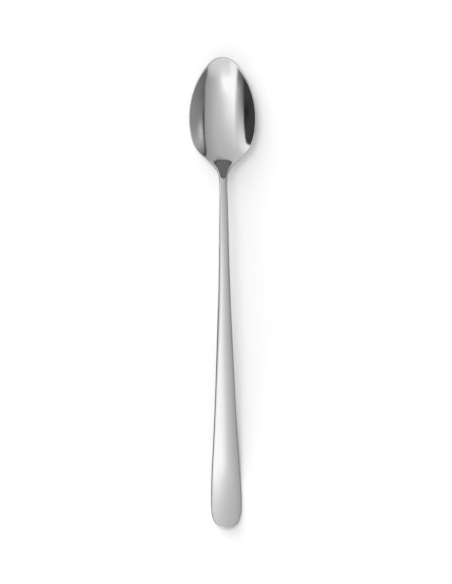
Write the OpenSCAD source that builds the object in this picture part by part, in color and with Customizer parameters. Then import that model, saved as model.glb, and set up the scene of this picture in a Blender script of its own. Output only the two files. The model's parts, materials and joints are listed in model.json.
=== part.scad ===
// Long-handled iced tea spoon, formed from one piece of polished steel.
// It lies face up: +Y runs along the spoon to the tip of the bowl and z = 0 is the table.
// The rim and the two long edges are one closed curve, and the body is a loft of cross sections
// along it: dished in the bowl, oval in the neck and crowned over a flat back in the handle, whose
// end turns up a little from the table.
// The bowl, the neck and the handle meet face to face at two cross sections.

/* [Whole spoon] */
// Length from the tip of the bowl to the end of the handle
overall_length = 195; // [175:1:215]

/* [Bowl] */
// Length of the bowl, from its tip to the narrowest part of the neck
bowl_length = 48; // [43:0.5:54]
// Width of the bowl where it is widest
bowl_width = 27.8; // [24:0.2:32]
// Depth of the hollow below the rim where the bowl is widest
bowl_depth = 6.2; // [4.4:0.1:7.6]
// Thickness of the bowl at the bottom of the hollow, measured upright
bowl_wall = 1.4; // [1:0.1:2]
// Thickness of the bowl at the rim, measured upright
rim_thickness = 1.2; // [0.8:0.1:1.6]
// How far in from the outline the rounding of the rim reaches
rim_round = 0.5; // [0.3:0.05:0.8]

/* [Neck] */
// Width of the neck where it is narrowest
neck_width = 3.4; // [2.8:0.1:4.6]
// Thickness of the neck from its back to the top of its crown
neck_thickness = 3.3; // [2.4:0.1:4.2]
// Length over which the hollow ends and the full thickness of the neck is reached
neck_blend = 9.5; // [8:0.5:11]

/* [Handle] */
// Height above the table that the edge line rises to, where the handle arches highest
arch_height = 16.7; // [14.5:0.1:19]
// Width of the handle where it is widest, near its end
handle_width = 12.9; // [10.5:0.1:15]
// Thickness of the handle near its end, from its flat back to the top of its crown
handle_thickness = 2.3; // [1.9:0.1:3]
// How far in from the outline the rounding of the handle's edge reaches
handle_round = 0.3; // [0.2:0.05:0.6]

/* [Smoothness] */
// Cross sections between two neighbouring points of the edge line
steps_along = 6; // [4:1:8]
// Facets across the spoon, from one edge to the other
facets_across = 24; // [16:2:32]

/* [Hidden] */

// Points that steer the edge line beside the bowl, from the tip on. Each row has shares of half the
// bowl's width, of the bowl's length, and of the rise from the rim at the widest place to the arch.
bowl_edge_shares = [
    [0.360, 0.018, 0.080],
    [0.753, 0.187, 0.050],
    [0.978, 0.374, 0.035],
    [1.025, 0.579, 0],
    [0.903, 0.766, 0.015],
    [0.629, 0.854, 0]
];

// Points that steer the edge line beside the neck and the handle. Each row has shares of the way
// from the neck's half width to the handle's, of the way from the bowl to the end of the handle,
// and of the arch's height above the edge line of the handle as it lies on the table.
stem_edge_shares = [
    [0.044, -0.009, 0.460],
    [-0.029, 0.027, 0.705],
    [0.042, 0.075, 0.885],
    [0.099, 0.190, 1.030],
    [0.182, 0.350, 0.945],
    [0.404, 0.515, 0.770],
    [0.587, 0.678, 0.450],
    [0.864, 0.820, 0.120],
    [0.946, 0.871, 0],
    [1.035, 0.935, -0.013],
    [0.887, 0.988, 0.096]
];
// Share of the same height that the last point, on the axis at the upturned end, rises to
end_rise_share = 0.244;

// Share of the neck's blend that lies before the end of the bowl's length
blend_before_share = 0.63;
// Share of the neck's half width that its rounded edge takes
neck_round_share = 0.3;
// Slopes of the crown on top, at the edges of the neck and at the edges of the handle's end
neck_crown_slope = 0.6;
handle_crown_slope = 0.38;
// Number of points at the handle's end that lie past its widest place
end_points = 2;

half_bowl = bowl_width / 2;
half_neck = neck_width / 2;
half_handle = handle_width / 2;
handle_length = overall_length - bowl_length;
handle_crown = handle_crown_slope * half_handle / 2;
flat_edge_height = (handle_thickness - handle_crown) / 2;
blend_start = bowl_length - blend_before_share * neck_blend;

// Depth that the back of the bowl hangs below the rim
back_depth = bowl_depth + bowl_wall - rim_thickness;

function between(from, to, share) = from + (to - from) * share;

// Rises from 0 to 1 between two places, with no kink at either end
function eased(from, to, place) =
    let (u = min(1, max(0, (place - from) / (to - from))))
    u * u * u * (u * (6 * u - 15) + 10);

// Points that steer the edge line: half width, distance from the tip, height, and the half width
// that the crown follows, which doesn't close at the end of the handle as the outline does
function bowl_points(rim_height) = [
    for (row = bowl_edge_shares)
        [
            row[0] * half_bowl,
            row[1] * bowl_length,
            between(rim_height, arch_height, row[2]),
            row[0] * half_bowl
        ]
];

function stem_points() = [
    for (i = [0 : len(stem_edge_shares) - 1])
        let (row = stem_edge_shares[i], half_width = between(half_neck, half_handle, row[0]))
        [
            half_width,
            bowl_length + row[1] * handle_length,
            between(flat_edge_height, arch_height, row[2]),
            i < len(stem_edge_shares) - end_points ? half_width : half_handle
        ]
];

// The first and the last point lie on the axis, so that the edge line closes at the tip and at the
// end, which turns up from the table
function edge_points(rim_height) =
    let (
        side = concat(bowl_points(rim_height), stem_points()),
        first = side[0],
        last = side[len(side) - 1],
        end_height = between(flat_edge_height, arch_height, end_rise_share)
    )
    concat(
        [[0, -first[1] / 2, first[2], first[3]]],
        side,
        [[0, overall_length + (overall_length - last[1]) / 2, end_height, last[3]]]
    );

function mirrored(point) = [-point[0], point[1], point[2], point[3]];

// Four neighbouring steering points, mirrored past the tip and past the end
function neighbours(points, i) = [
    i > 0 ? points[i - 1] : mirrored(points[1]),
    points[i],
    points[i + 1],
    i + 2 < len(points) ? points[i + 2] : mirrored(points[i])
];

// A smooth cubic curve that the points steer, and its direction
function curve_at(points, t) =
    let (i = min(floor(t), len(points) - 2), u = t - i, v = 1 - u)
    [v * v * v, 3 * u * u * u - 6 * u * u + 4, 3 * v * v * v - 6 * v * v + 4, u * u * u]
        * neighbours(points, i) / 6;

function direction_at(points, t) =
    let (i = min(floor(t), len(points) - 2), u = t - i, v = 1 - u)
    [-v * v, 3 * u * u - 4 * u, 4 * v - 3 * v * v, u * u] * neighbours(points, i) / 2;

// Share of the full neck section that is reached: 0 in the bowl, 1 in the neck and the handle
function stem_share(along) = eased(blend_start, blend_start + neck_blend, along);

// Share of the change from the neck's section to the section at the handle's end
function handle_share(along) = eased(bowl_length, overall_length - handle_width, along);

// Round-over of an edge: 0 on the outline and 1 from the rounding's inner end on
function rounded(share) = sqrt(1 - pow(1 - min(1, share), 2));

// Height of the top and of the back at one place of a cross section. The value spread is 0 on the
// outline and grows inwards, to the square of the half width on the axis. The back is cut flat where
// it would dip below the table, which makes the flat that the handle rests on.
function heights(edge, slope_run, across) =
    let (
        stem = stem_share(edge[1]),
        handle = handle_share(edge[1]),
        thickness = between(neck_thickness, handle_thickness, handle),
        stem_round = between(half_neck * neck_round_share, handle_round, handle),
        crown_slope = between(neck_crown_slope, handle_crown_slope, handle),
        crown_height = crown_slope * edge[3] / 2,
        stem_wall = thickness - crown_height,
        spread = pow(edge[0], 2) - pow(across, 2),
        inwards = spread / (2 * norm([across, slope_run])),
        wall = between(rim_thickness, stem_wall, stem)
            * rounded(inwards / between(rim_round, stem_round, stem)),
        crown = crown_height * spread / pow(edge[3], 2),
        hollow = bowl_depth * spread / pow(half_bowl, 2),
        belly = back_depth * spread / pow(half_bowl, 2)
    )
    [
        edge[2] + wall / 2 + between(-hollow, crown, stem),
        max(0, edge[2] - wall / 2 - between(belly, 0, stem))
    ];

// One closed cross section: over the top from the left edge to the right, and back underneath
function section(points, t) =
    let (
        edge = curve_at(points, t),
        direction = direction_at(points, t),
        slope_run = edge[0] * direction[0] / direction[1],
        y = overall_length / 2 - edge[1],
        places = [
            for (k = [0 : facets_across])
                -edge[0] * cos(180 * k / facets_across)
        ],
        levels = [
            for (k = [1 : facets_across - 1])
                heights(edge, slope_run, places[k])
        ]
    )
    concat(
        [[places[0], y, edge[2]]],
        [for (k = [1 : facets_across - 1]) [places[k], y, levels[k - 1][0]]],
        [[places[facets_across], y, edge[2]]],
        [for (k = [facets_across - 1 : -1 : 1]) [places[k], y, levels[k - 1][1]]]
    );

// Height of the back on the axis, where the bowl touches the table
function keel_height(points, t) =
    let (edge = curve_at(points, t))
    edge[2] - rim_thickness / 2 - back_depth * pow(edge[0] / half_bowl, 2);

// The bowl's edge line is lifted by what its back would reach below the table
bowl_spans = len(bowl_edge_shares);
level_rim = back_depth + rim_thickness / 2;
level_points = edge_points(level_rim);
lowest = min([
    for (step = [steps_along : bowl_spans * steps_along - 1])
        keel_height(level_points, step / steps_along)
]);
spoon_points = edge_points(level_rim - lowest);

// Places on the edge line, in spans from the tip, where the three regions meet
neck_start = bowl_spans + 2;
handle_start = neck_start + 2;
handle_end = len(spoon_points) - 1;

function end_point(t) =
    let (edge = curve_at(spoon_points, t))
    [0, overall_length / 2 - edge[1], edge[2]];

// Two triangles between four corners, with the diagonal mirrored about the spoon's axis
function quad(a, b, c, d, flip) = flip ? [[a, b, d], [b, c, d]] : [[a, b, c], [a, c, d]];

function is_left(k, count) = k < count / 4 || k >= count * 3 / 4;

// Skin between neighbouring rings of points, which all have count points
function skin(rings, count) = [
    for (r = [0 : rings - 2])
        for (k = [0 : count - 1])
            let (here = r * count, there = here + count, next = (k + 1) % count)
            for (face = quad(here + k, here + next, there + next, there + k, is_left(k, count)))
                face
];

// Flat face over a whole ring, in strips from one edge to the other. The top and the back share
// their points on the edge line, so the outermost strips are single triangles.
function flat_end(first, count) = [
    for (k = [0 : count / 2 - 1])
        let (
            top = first + k,
            back = first + (count - k) % count,
            next_back = first + count - k - 1
        )
        for (face = [[top, back, next_back], [top, next_back, top + 1]])
            if (face[0] != face[1] && face[1] != face[2])
                face
];

// Pointed end, where the rings close in one point
function pointed_end(first, count, point) = [
    for (k = [0 : count - 1])
        [first + (k + 1) % count, first + k, point]
];

function turned(faces) = [for (face = faces) [face[2], face[1], face[0]]];

// Solid between two places on the edge line
module loft(from, to) {
    is_tip = from == 0;
    is_end = to == handle_end;
    count = 2 * facets_across;
    first_step = from * steps_along + (is_tip ? 1 : 0);
    last_step = to * steps_along - (is_end ? 1 : 0);
    rings = [
        for (step = [first_step : last_step])
            section(spoon_points, step / steps_along)
    ];
    corners = concat(
        [for (ring = rings) for (corner = ring) corner],
        is_tip || is_end ? [end_point(is_tip ? from : to)] : []
    );
    point = len(rings) * count;
    last_ring = point - count;
    polyhedron(
        points = corners,
        faces = concat(
            skin(len(rings), count),
            is_tip ? pointed_end(0, count, point) : flat_end(0, count),
            turned(is_end ? pointed_end(last_ring, count, point) : flat_end(last_ring, count))
        )
    );
}

module bowl() {
    color("silver")
        loft(0, neck_start);
}

module neck() {
    color("silver")
        loft(neck_start, handle_start);
}

module handle() {
    color("silver")
        loft(handle_start, handle_end);
}

bowl();
neck();
handle();
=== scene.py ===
# Looks of the long-handled iced tea spoon: one seamless skin of mirror-polished steel over the three
# regions of the frame, on a white table in a soft studio light.
import json
import math

import bpy
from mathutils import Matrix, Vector

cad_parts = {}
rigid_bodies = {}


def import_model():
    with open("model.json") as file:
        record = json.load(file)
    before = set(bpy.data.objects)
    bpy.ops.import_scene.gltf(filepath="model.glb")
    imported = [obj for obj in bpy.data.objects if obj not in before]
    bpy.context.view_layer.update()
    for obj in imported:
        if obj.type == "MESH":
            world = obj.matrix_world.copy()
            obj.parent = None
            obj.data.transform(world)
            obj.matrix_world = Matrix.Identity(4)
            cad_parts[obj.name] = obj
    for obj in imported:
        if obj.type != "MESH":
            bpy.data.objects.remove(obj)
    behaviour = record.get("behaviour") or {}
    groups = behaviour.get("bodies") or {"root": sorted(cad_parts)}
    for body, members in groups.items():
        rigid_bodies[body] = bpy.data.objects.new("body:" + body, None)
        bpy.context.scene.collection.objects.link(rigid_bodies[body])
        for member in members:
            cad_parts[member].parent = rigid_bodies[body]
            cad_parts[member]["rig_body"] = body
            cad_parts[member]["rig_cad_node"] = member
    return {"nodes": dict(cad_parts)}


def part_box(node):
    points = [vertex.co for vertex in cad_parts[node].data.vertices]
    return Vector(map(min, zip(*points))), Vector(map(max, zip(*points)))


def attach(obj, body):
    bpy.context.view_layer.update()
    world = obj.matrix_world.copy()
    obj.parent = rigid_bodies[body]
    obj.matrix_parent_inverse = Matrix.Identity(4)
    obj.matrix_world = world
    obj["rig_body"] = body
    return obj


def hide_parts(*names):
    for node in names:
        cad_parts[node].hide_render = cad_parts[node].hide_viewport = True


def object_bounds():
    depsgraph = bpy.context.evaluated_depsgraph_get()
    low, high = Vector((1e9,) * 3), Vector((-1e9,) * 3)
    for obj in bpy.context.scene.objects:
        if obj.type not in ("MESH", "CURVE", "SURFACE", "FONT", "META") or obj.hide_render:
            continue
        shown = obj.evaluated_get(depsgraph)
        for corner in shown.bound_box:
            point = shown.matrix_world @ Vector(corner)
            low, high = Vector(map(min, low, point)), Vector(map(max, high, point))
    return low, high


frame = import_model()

cad_low, cad_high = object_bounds()

MM = 0.001
BODY = "root"
REGIONS = ("bowl", "neck", "handle")

# The photograph's frame, and where the spoon lies in it
IMAGE_WIDTH_PX = 452
IMAGE_HEIGHT_PX = 584
TIP_PX = (222.1, 57.0)
HANDLE_END_PX = (226.4, 528.5)

# Camera
CAMERA_DISTANCE = 4.0
CAMERA_CLIP = (0.01, 20.0)
SENSOR_WIDTH = 36.0

# Table
FLOOR_SIZE = 6.0
FLOOR_COLOUR = (0.8, 0.8, 0.8, 1.0)
FLOOR_ROUGHNESS = 0.6
FLOOR_GLOW = 0.10

# Studio. Its light depends on the direction it comes from, a unit vector whose x is to the right and
# whose y is to the far side. A fade has a start and a stop, and a spot has a centre and a width.
WHITE = (1.0, 1.0, 1.0, 1.0)

# Studio ceiling, with a broad glow and a long window on its near side
CEILING_LIGHT = 0.71
CEILING_LOSS_RIGHTWARDS = 0.22
CEILING_LOSS_FARWARDS = 0.09
CEILING_GAIN_SIDEWAYS = 0.16
CEILING_GAIN_CROSSWAYS = 0.15
CEILING_BRIGHTEST = 1.38
CEILING_DIMMED = 0.50
CEILING_DIM_FADE = (0.30, 1.10)
GLOW_LIGHT = 0.46
GLOW_SPOT_X = (-0.57, 0.57)
GLOW_SPOT_Y = (-0.60, 0.69)
WINDOW_LIGHT = 0.88
WINDOW_SPOT_X = (-0.19, 0.25)
WINDOW_SPOT_Y = (-0.70, 0.18)

# Studio wall on the right. Its edge bows with y, and more where y is under its near limit.
WALL_BOW = 0.36
WALL_NEAR_BOW = 4.5
WALL_NEAR_LIMIT = -0.45
WALL_EDGE_FADE = (0.766, 0.782)
WALL_LIGHT = 0.165
WALL_LIGHT_AT = 0.78
WALL_GAIN_RIGHTWARDS = 0.65
WALL_GAIN_PAST_NEAR = 0.045
WALL_NEAR_FADE = (-0.35, -0.15)
WALL_GLOW = 0.17
WALL_GLOW_SPOT_Y = (0.42, 0.22)
WALL_PATCH = 0.35
WALL_PATCH_SPOT = (0.87, 0.045)
WALL_PATCH_SPOT_Y = (0.20, 0.19)
WALL_LINE_DARKNESS = 0.62
WALL_LINE_START = (0.772, 0.784)
WALL_LINE_STOP = (0.812, 0.828)
WALL_LINE_NEAR_FADE = (-0.3, -0.1)

# Studio panel on the left, with a dark foot at its near end
PANEL_FADE = (-0.65, -0.53)
PANEL_EDGE = -0.6
PANEL_MIDDLE = 0.19
PANEL_LIGHT = 0.80
PANEL_LOSS_NEARER = 5.6
PANEL_GAIN_FARTHER = 5.0
PANEL_DARKEST = 0.08
FOOT_FADE = (-0.55, -0.42)
FOOT_RISE = 20.0
FOOT_DARKNESS = 0.56

# Dark gap low on the left, beyond the panel, with a darker pit in it
GAP_BOW = 0.15
GAP_MIDDLE = 0.1
GAP_EDGE_FADE = (-0.86, -0.835)
GAP_FAR_FADE = (0.42, 0.48)
GAP_LIGHT = 0.06
PIT_DARKNESS = 0.6
PIT_SPOT_X = (-0.89, 0.05)
PIT_SPOT_Y = (-0.1, 0.14)

# Bright card low on the near side, with a bowed edge that is sharper at its outer parts
CARD_EDGE = -0.65
CARD_BOW = 0.17
CARD_SOFTNESS = 0.05
CARD_OUTER_FADE = (0.50, 0.65)
CARD_OUTER_START = 0.01
CARD_OUTER_STOP = 0.02
CARD_RIGHT_FADE = (0.57, 0.62)
CARD_LIGHT = 1.14
CARD_LOSS_RIGHTWARDS = 0.22
CARD_LOSS_FADE = (-0.42, -0.30)

# Dark wall low on the far side, with a darker line along its edge
FAR_WALL_EDGE = 0.921
FAR_WALL_SOFTNESS = 0.012
FAR_WALL_TURN = 0.015
FAR_WALL_BOW = 0.25
FAR_WALL_LEFT_BOW = 0.20
FAR_WALL_LEFT_LIMIT = -0.15
FAR_WALL_LIGHT = 0.185
FAR_LINE_WIDTH = 0.008
FAR_LINE_DARKNESS = 0.25
FAR_LINE_SIDE_DARKNESS = 0.40
FAR_LINE_SIDE_FADE = (0.08, 0.18)

# Steel. Noise scales are in waves a metre, and its values spread both ways from the middle.
NOISE_MIDDLE = 0.5
STEEL_COLOUR = (0.70, 0.70, 0.705, 1.0)
WORN_COLOUR = (0.66, 0.66, 0.66, 1.0)
# Painted dark reflection on the steep edges
PAINTED_DARK_EDGE_COLOUR = (0.10, 0.10, 0.10, 1.0)
SMUDGE_WEAR = 0.35
SCRATCH_WEAR = 0.3
WAVE_SCALE = 110.0
WAVE_HEIGHT = 0.004 * MM
SMUDGE_SCALE = 60.0
SMUDGE_FADE = (0.45, 0.75)
RUB_SCALE = 900.0
POLISH_ROUGHNESS = 0.02
SMUDGE_ROUGHNESS = 0.03
EDGE_ROUGHNESS = 0.04
RUB_ROUGHNESS = 0.10
SCRATCH_ROUGHNESS = 0.06
SCRATCH_DEPTH_SHARE = 0.15
SCRATCH_TURNS = (8, -27, 64)
SCRATCH_STRETCH = (4000.0, 120.0, 900.0)
SCRATCH_FADE = (0.004, 0.018)

# Edges painted dark, a painted dark reflection on the steel. Places along the spoon are measured back
# from its tip, and a lean is a component of the surface's normal.
STEEP_LEAN = (0.50, 0.72)
NECK_START = (49.5 * MM, 57.5 * MM)
NECK_STOP = (88.5 * MM, 113.5 * MM)
END_START = (170.5 * MM, 180.5 * MM)
LEFT_LEAN = (-0.25, 0.0)
LEFT_SPARED = 0.8
RIM_START = (5.5 * MM, 9.5 * MM)
RIM_STOP = (31.5 * MM, 37.5 * MM)
RIM_SIDE = (0.0, 2 * MM)
RIM_RIGHT_LEAN = (0.05, 0.35)
RIM_UP_LEAN = (-0.1, 0.1)

# Mesh of the skin
MERGE_DISTANCE = 0.001 * MM
SEAM_REACH = 0.01 * MM
SEAM_NORMAL = 0.99
QUAD_ANGLE = math.radians(60)
SKIN_LEVELS = 2
SHARP_ANGLE = math.radians(40)


def deselect_all():
    bpy.ops.object.select_all(action="DESELECT")


def make_active(piece):
    deselect_all()
    piece.select_set(True)
    bpy.context.view_layer.objects.active = piece


class Value:
    """A number that varies over a surface or with direction. Sums and products of such values add
    Math nodes."""

    def __init__(self, shader, socket):
        self.shader = shader
        self.socket = socket

    def __add__(self, other):
        return self.shader.math("ADD", self, other)

    def __radd__(self, other):
        return self.shader.math("ADD", other, self)

    def __sub__(self, other):
        return self.shader.math("SUBTRACT", self, other)

    def __rsub__(self, other):
        return self.shader.math("SUBTRACT", other, self)

    def __mul__(self, other):
        return self.shader.math("MULTIPLY", self, other)

    def __rmul__(self, other):
        return self.shader.math("MULTIPLY", other, self)

    def __truediv__(self, other):
        return self.shader.math("DIVIDE", self, other)

    def __pow__(self, other):
        return self.shader.math("POWER", self, other)

    def __abs__(self):
        return self.shader.math("ABSOLUTE", self)


class Shader:
    """The nodes of one material or world."""

    def __init__(self, owner):
        owner.use_nodes = True
        self.tree = owner.node_tree
        self.tree.nodes.clear()

    def node(self, kind, settings=None, sockets=None):
        """Adds a node of a kind, with its settings and then the values or links of its sockets."""
        made = self.tree.nodes.new(kind)
        for name, setting in (settings or {}).items():
            setattr(made, name, setting)
        for name, given in (sockets or {}).items():
            self.feed(made.inputs[name], given)
        return made

    def feed(self, socket, given):
        """Links a value or another socket to the socket, or sets it to what is given."""
        if isinstance(given, Value):
            given = given.socket
        if isinstance(given, bpy.types.NodeSocket):
            self.tree.links.new(given, socket)
        else:
            socket.default_value = given

    def value(self, made, output=0):
        return Value(self, made.outputs[output])

    def math(self, operation, *numbers):
        made = self.node("ShaderNodeMath", {"operation": operation}, dict(enumerate(numbers)))
        return self.value(made)

    def rise(self, value, low, high):
        """Rises smoothly from 0 at low to 1 at high."""
        made = self.node(
            "ShaderNodeMapRange",
            {"interpolation_type": "SMOOTHSTEP"},
            {"Value": value, "From Min": low, "From Max": high},
        )
        return self.value(made, "Result")

    def fall(self, value, low, high):
        """Falls smoothly from 1 at low to 0 at high."""
        return 1 - self.rise(value, low, high)

    def spot(self, value, centre, width):
        """1 at the centre, fading to 0 on both sides of it."""
        return self.math("EXPONENT", ((value - centre) / width) ** 2 * -1)

    def blend(self, first, second, share):
        """The first where share is 0, and the second where it is 1."""
        return first * (1 - share) + second * share

    def parts(self, vector):
        """The X, Y and Z of a vector, as the outputs of one node."""
        return self.node("ShaderNodeSeparateXYZ", {}, {"Vector": vector})

    def noise(self, place, scale, detail):
        """Soft lumps, from 0 to 1, that vary with the place."""
        made = self.node(
            "ShaderNodeTexNoise", {}, {"Vector": place, "Scale": scale, "Detail": detail}
        )
        return self.value(made, "Fac")


def add_camera():
    """Looks straight down, with the spoon where it lies in the photograph."""
    run = Vector(TIP_PX) - Vector(HANDLE_END_PX)
    middle = (Vector(TIP_PX) + Vector(HANDLE_END_PX)) / 2
    metres_per_px = (cad_high.y - cad_low.y) / run.length
    roll = math.atan2(run.x, -run.y)
    image_middle = Vector((IMAGE_WIDTH_PX / 2, IMAGE_HEIGHT_PX / 2))
    offset = image_middle - middle
    height = (cad_low.z + cad_high.z) / 2 + CAMERA_DISTANCE
    place = Vector((offset.x * metres_per_px, -offset.y * metres_per_px, height))
    data = bpy.data.cameras.new("camera")
    data.sensor_width = SENSOR_WIDTH
    data.lens = SENSOR_WIDTH * CAMERA_DISTANCE / (IMAGE_HEIGHT_PX * metres_per_px)
    data.clip_start, data.clip_end = CAMERA_CLIP
    camera = bpy.data.objects.new("camera", data)
    camera.location = place
    camera.rotation_euler = (0, 0, roll)
    bpy.context.scene.collection.objects.link(camera)
    bpy.context.scene.camera = camera


def light_world():
    """The studio round the table, as light from each direction."""
    world = bpy.data.worlds.new("studio")
    bpy.context.scene.world = world
    shader = Shader(world)
    coordinates = shader.node("ShaderNodeTexCoord")
    direction = shader.parts(coordinates.outputs["Generated"])
    x = shader.value(direction, "X")
    y = shader.value(direction, "Y")
    nearer = shader.math("MINIMUM", y - WALL_NEAR_LIMIT, 0.0)
    rightwards = x + WALL_BOW * y * y + WALL_NEAR_BOW * nearer ** 2
    light = ceiling(shader, x, y, rightwards)
    light = with_right_wall(shader, light, rightwards, y)
    light = with_left_panel(shader, light, x, y)
    light = with_dark_gap(shader, light, x, y)
    light = with_near_card(shader, light, x, y)
    light = with_far_wall(shader, light, x, y)
    background = shader.node("ShaderNodeBackground", {}, {"Color": WHITE, "Strength": light})
    shader.node("ShaderNodeOutputWorld", {}, {"Surface": background.outputs["Background"]})


def ceiling(shader, x, y, rightwards):
    """A soft overhead light with a broad glow and a long window on its near side, a little to the
    left. It is dimmer towards the right."""
    overhead = CEILING_LIGHT - CEILING_LOSS_RIGHTWARDS * x - CEILING_LOSS_FARWARDS * y
    overhead = overhead + CEILING_GAIN_SIDEWAYS * x * x + CEILING_GAIN_CROSSWAYS * x * y
    glow = GLOW_LIGHT * shader.spot(x, *GLOW_SPOT_X) * shader.spot(y, *GLOW_SPOT_Y)
    window = WINDOW_LIGHT * shader.spot(x, *WINDOW_SPOT_X) * shader.spot(y, *WINDOW_SPOT_Y)
    light = shader.math("MINIMUM", overhead + glow + window, CEILING_BRIGHTEST)
    return light * (1 - CEILING_DIMMED * shader.rise(rightwards, *CEILING_DIM_FADE))


def with_right_wall(shader, light, rightwards, y):
    """A dim wall low on the right, with a dark line along its top edge and a lit patch on it."""
    glow = WALL_GLOW * shader.spot(y, *WALL_GLOW_SPOT_Y)
    patch = WALL_PATCH * shader.spot(rightwards, *WALL_PATCH_SPOT) * shader.spot(y, *WALL_PATCH_SPOT_Y)
    wall = WALL_LIGHT + WALL_GAIN_PAST_NEAR * shader.rise(y, *WALL_NEAR_FADE) + glow + patch
    wall = wall + WALL_GAIN_RIGHTWARDS * (rightwards - WALL_LIGHT_AT)
    line = shader.rise(rightwards, *WALL_LINE_START) * shader.fall(rightwards, *WALL_LINE_STOP)
    wall = wall * (1 - WALL_LINE_DARKNESS * line * shader.rise(y, *WALL_LINE_NEAR_FADE))
    return shader.blend(light, wall, shader.rise(rightwards, *WALL_EDGE_FADE))


def with_left_panel(shader, light, x, y):
    """A grey panel on the left, lighter towards the far side and darker towards the near one."""
    depth = shader.math("MAXIMUM", PANEL_EDGE - x, 0.0)
    up = y - PANEL_MIDDLE
    nearer = shader.math("MINIMUM", up, 0.0)
    farther = shader.math("MAXIMUM", up, 0.0)
    panel = PANEL_LIGHT + depth * (PANEL_LOSS_NEARER * nearer + PANEL_GAIN_FARTHER * farther)
    foot = shader.fall(y, *FOOT_FADE) * shader.math("MINIMUM", depth * FOOT_RISE, 1.0)
    panel = shader.math("MAXIMUM", panel * (1 - FOOT_DARKNESS * foot), PANEL_DARKEST)
    return shader.blend(panel, light, shader.rise(x, *PANEL_FADE))


def with_dark_gap(shader, light, x, y):
    """A dark gap beyond the left panel, darkest in a pit."""
    side = x - GAP_BOW * (y - GAP_MIDDLE) ** 2
    gap = shader.fall(side, *GAP_EDGE_FADE) * shader.fall(y, *GAP_FAR_FADE)
    pit = 1 - PIT_DARKNESS * shader.spot(x, *PIT_SPOT_X) * shader.spot(y, *PIT_SPOT_Y)
    return shader.blend(light, GAP_LIGHT * pit, gap)


def with_near_card(shader, light, x, y):
    """A bright card low on the near side, brightest on the left."""
    edge = CARD_BOW * x * x + CARD_EDGE
    outer = shader.rise(abs(x), *CARD_OUTER_FADE)
    start = edge + CARD_OUTER_START * outer
    stop = edge + CARD_SOFTNESS - CARD_OUTER_STOP * outer
    card = shader.fall(y, start, stop) * shader.fall(x, *CARD_RIGHT_FADE)
    card_light = CARD_LIGHT - CARD_LOSS_RIGHTWARDS * shader.rise(x, *CARD_LOSS_FADE)
    return shader.blend(light, card_light, card)


def with_far_wall(shader, light, x, y):
    """A dark wall low on the far side, which the bowl's heel mirrors as a dark patch, with a darker
    line along its edge."""
    left = shader.math("MINIMUM", x - FAR_WALL_LEFT_LIMIT, 0.0)
    farwards = y + FAR_WALL_TURN * x + FAR_WALL_BOW * x * x + FAR_WALL_LEFT_BOW * left ** 2
    edge_stop = FAR_WALL_EDGE + FAR_WALL_SOFTNESS
    wall = shader.rise(farwards, FAR_WALL_EDGE, edge_stop)
    line_darkness = FAR_LINE_DARKNESS + FAR_LINE_SIDE_DARKNESS * shader.rise(abs(x), *FAR_LINE_SIDE_FADE)
    line = shader.spot(farwards, edge_stop, FAR_LINE_WIDTH) * line_darkness
    return shader.blend(light, FAR_WALL_LIGHT, wall) * (1 - line)


def add_lamp(name, towards, strength, width):
    """A soft lamp that throws the spoon's shadow. Its own image is left out of the steel."""
    data = bpy.data.lights.new(name, "SUN")
    data.energy = strength
    data.angle = math.radians(width)
    lamp = bpy.data.objects.new(name, data)
    lamp.rotation_euler = Vector(towards).to_track_quat("Z", "Y").to_euler()
    lamp.visible_glossy = False
    bpy.context.scene.collection.objects.link(lamp)


def white_table():
    """White table top, with a faint glow that only the camera and the steel see."""
    material = bpy.data.materials.new("white_table")
    shader = Shader(material)
    paint = shader.node(
        "ShaderNodeBsdfPrincipled",
        {},
        {"Base Color": FLOOR_COLOUR, "Roughness": FLOOR_ROUGHNESS},
    )
    path = shader.node("ShaderNodeLightPath")
    camera_ray = shader.value(path, "Is Camera Ray")
    glossy_ray = shader.value(path, "Is Glossy Ray")
    through_ray = shader.value(path, "Is Transmission Ray")
    seen = shader.math("MINIMUM", camera_ray + glossy_ray + through_ray, 1.0)
    glow = shader.node("ShaderNodeEmission", {}, {"Strength": seen * FLOOR_GLOW})
    both = shader.node("ShaderNodeAddShader")
    shader.feed(both.inputs[0], paint.outputs["BSDF"])
    shader.feed(both.inputs[1], glow.outputs["Emission"])
    shader.node("ShaderNodeOutputMaterial", {}, {"Surface": both.outputs["Shader"]})
    return material


def add_table():
    deselect_all()
    bpy.ops.mesh.primitive_plane_add(size=FLOOR_SIZE, location=(0, 0, cad_low.z))
    table = bpy.context.object
    table.name = "table_top"
    table.data.materials.append(white_table())


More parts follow.
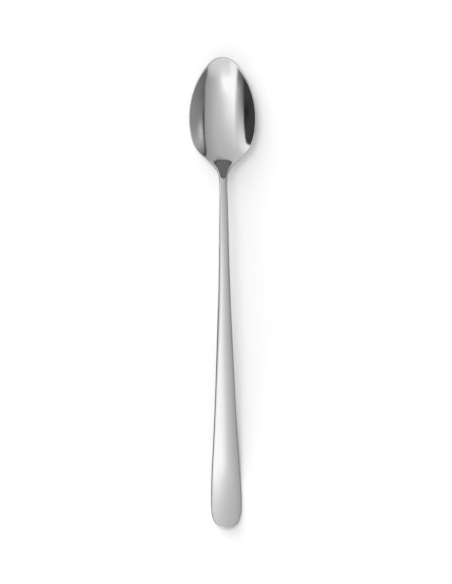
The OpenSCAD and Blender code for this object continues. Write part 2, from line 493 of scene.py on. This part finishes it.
def polished_steel():
    """Mirror-polished stainless steel, with a trace of waviness, smudges, fine scratches and a
    softer polish on its edges, rubbed unevenly. Its steep edges are painted darker, a painted dark
    reflection."""
    material = bpy.data.materials.new("polished_steel")
    shader = Shader(material)
    coordinates = shader.node("ShaderNodeTexCoord")
    place = coordinates.outputs["Object"]
    facing = shader.parts(coordinates.outputs["Normal"])
    wave = shader.noise(place, scale=WAVE_SCALE, detail=1.0)
    smudge = shader.rise(shader.noise(place, scale=SMUDGE_SCALE, detail=3.0), *SMUDGE_FADE)
    scratches = scratch_layers(shader, place)
    steep = shader.fall(abs(shader.value(facing, "Z")), *STEEP_LEAN)
    rubbed = steep * shader.noise(place, scale=RUB_SCALE, detail=2.0)
    worn = shader.node(
        "ShaderNodeMix",
        {"data_type": "RGBA"},
        {
            "Factor": SMUDGE_WEAR * smudge + SCRATCH_WEAR * scratches,
            "A": STEEL_COLOUR,
            "B": WORN_COLOUR,
        },
    )
    # Painted dark reflection on the steep edges, mixed into the base colour
    with_painted_dark_edges = shader.node(
        "ShaderNodeMix",
        {"data_type": "RGBA"},
        {
            "Factor": painted_dark_edges(shader, place, facing, steep),
            "A": worn.outputs["Result"],
            "B": PAINTED_DARK_EDGE_COLOUR,
        },
    )
    roughness = POLISH_ROUGHNESS + SMUDGE_ROUGHNESS * smudge + EDGE_ROUGHNESS * steep
    roughness = roughness + RUB_ROUGHNESS * rubbed + SCRATCH_ROUGHNESS * scratches
    relief = shader.node(
        "ShaderNodeBump",
        {},
        {
            "Strength": 1.0,
            "Distance": WAVE_HEIGHT,
            "Height": wave - SCRATCH_DEPTH_SHARE * scratches,
        },
    )
    steel = shader.node(
        "ShaderNodeBsdfPrincipled",
        {},
        {
            "Base Color": with_painted_dark_edges.outputs["Result"],
            "Metallic": 1.0,
            "Roughness": roughness,
            "Normal": relief.outputs["Normal"],
        },
    )
    shader.node("ShaderNodeOutputMaterial", {}, {"Surface": steel.outputs["BSDF"]})
    return material


def painted_dark_edges(shader, place, facing, steep):
    """Where the edges are painted dark, a painted dark reflection: on their steep flanks, less on the
    left of the neck and of the handle's end, and more round the right of the bowl's rim."""
    position = shader.parts(place)
    from_tip = cad_high.y - shader.value(position, "Y")
    lean = shader.value(facing, "X")
    neck = shader.rise(from_tip, *NECK_START) * shader.fall(from_tip, *NECK_STOP)
    end = shader.rise(from_tip, *END_START)
    spared = LEFT_SPARED * shader.fall(lean, *LEFT_LEAN) * (neck + end)
    rim = shader.rise(from_tip, *RIM_START) * shader.fall(from_tip, *RIM_STOP)
    rim = rim * shader.rise(shader.value(position, "X"), *RIM_SIDE)
    rim = rim * shader.rise(lean, *RIM_RIGHT_LEAN)
    rim = rim * shader.rise(shader.value(facing, "Z"), *RIM_UP_LEAN)
    return shader.math("MAXIMUM", steep * (1 - spared), rim)


def scratch_layers(shader, place):
    """Fine scratches of use, in a few directions, each a stretched noise cut to thin lines."""
    layers = []
    for turn in SCRATCH_TURNS:
        turned = shader.node(
            "ShaderNodeMapping",
            {},
            {
                "Vector": place,
                "Rotation": (0, 0, math.radians(turn)),
                "Scale": SCRATCH_STRETCH,
            },
        )
        grain = shader.noise(turned.outputs["Vector"], scale=1.0, detail=2.0)
        layers.append(shader.fall(abs(grain - NOISE_MIDDLE), *SCRATCH_FADE))
    return shader.math("MINIMUM", layers[0] + layers[1] + layers[2], 1.0)


def joined_copies():
    """Copies of the frame's regions as one mesh, with the corners at their seams merged."""
    deselect_all()
    for name in REGIONS:
        frame["nodes"][name].select_set(True)
    bpy.context.view_layer.objects.active = frame["nodes"][REGIONS[0]]
    bpy.ops.object.duplicate()
    for copy in bpy.context.selected_objects:
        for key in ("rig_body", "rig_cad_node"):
            del copy[key]
    bpy.ops.object.parent_clear(type="CLEAR_KEEP_TRANSFORM")
    bpy.ops.object.join()
    skin = bpy.context.object
    skin.name = "spoon_skin"
    skin.data.name = "spoon_skin"
    bpy.ops.object.mode_set(mode="EDIT")
    bpy.ops.mesh.select_all(action="SELECT")
    bpy.ops.mesh.customdata_custom_splitnormals_clear()
    bpy.ops.mesh.remove_doubles(threshold=MERGE_DISTANCE)
    bpy.ops.mesh.select_all(action="DESELECT")
    bpy.ops.object.mode_set(mode="OBJECT")
    return skin


def open_seams(skin):
    """Deletes the faces inside the skin, where the regions lay face to face."""
    cuts = seams()
    for face in skin.data.polygons:
        at_seam = any(abs(face.center.y - seam) < SEAM_REACH for seam in cuts)
        face.select = at_seam and abs(face.normal.y) > SEAM_NORMAL
    bpy.ops.object.mode_set(mode="EDIT")
    bpy.ops.mesh.select_mode(type="FACE")
    bpy.ops.mesh.delete(type="ONLY_FACE")
    bpy.ops.object.mode_set(mode="OBJECT")


def smooth_skin():
    """One closed and smooth skin over the whole spoon."""
    skin = joined_copies()
    open_seams(skin)
    bpy.ops.object.mode_set(mode="EDIT")
    bpy.ops.mesh.select_all(action="SELECT")
    bpy.ops.mesh.tris_convert_to_quads(face_threshold=QUAD_ANGLE, shape_threshold=QUAD_ANGLE)
    bpy.ops.object.mode_set(mode="OBJECT")
    smoother = skin.modifiers.new("smoother", "SUBSURF")
    smoother.levels = SKIN_LEVELS
    smoother.render_levels = SKIN_LEVELS
    bpy.ops.object.modifier_apply(modifier=smoother.name)
    return skin


def seams():
    """Where the regions meet along the spoon, from the bowl's side on."""
    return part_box("bowl")[0].y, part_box("handle")[1].y


def cut_across(y, keep_side):
    """Cuts the active mesh square across at y, and keeps the side towards the tip or the end."""
    bpy.ops.object.mode_set(mode="EDIT")
    bpy.ops.mesh.select_all(action="SELECT")
    bpy.ops.mesh.bisect(
        plane_co=(0, y, 0),
        plane_no=(0, 1, 0),
        use_fill=True,
        clear_inner=keep_side == "tip",
        clear_outer=keep_side == "end",
    )
    bpy.ops.object.mode_set(mode="OBJECT")


def region_piece(skin, name, cuts):
    """A copy of the skin, cut down to one region."""
    make_active(skin)
    bpy.ops.object.duplicate()
    piece = bpy.context.object
    piece.name = "spoon_" + name
    piece.data.name = "spoon_" + name
    for y, keep_side in cuts:
        cut_across(y, keep_side)
    bpy.ops.object.shade_smooth_by_angle(angle=SHARP_ANGLE)
    return piece


def add_spoon():
    """The bowl, the neck and the handle, cut from one skin so that no seam shows."""
    skin = smooth_skin()
    neck_seam, handle_seam = seams()
    pieces = {
        "bowl": region_piece(skin, "bowl", [(neck_seam, "tip")]),
        "neck": region_piece(skin, "neck", [(neck_seam, "end"), (handle_seam, "tip")]),
        "handle": region_piece(skin, "handle", [(handle_seam, "end")]),
    }
    bpy.data.objects.remove(skin)
    steel = polished_steel()
    for name, piece in pieces.items():
        piece.data.materials.clear()
        piece.data.materials.append(steel)
        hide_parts(name)
        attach(piece, BODY)


bpy.context.scene.view_settings.view_transform = "Standard"
add_camera()
light_world()
add_lamp("high_lamp", towards=(-0.22, 0.25, 1.0), strength=0.98, width=22)
add_lamp("side_lamp", towards=(-0.40, 0.85, 0.60), strength=0.65, width=40)
add_lamp("low_lamp", towards=(-0.60, 0.70, 0.35), strength=0.60, width=40)
add_table()
add_spoon()
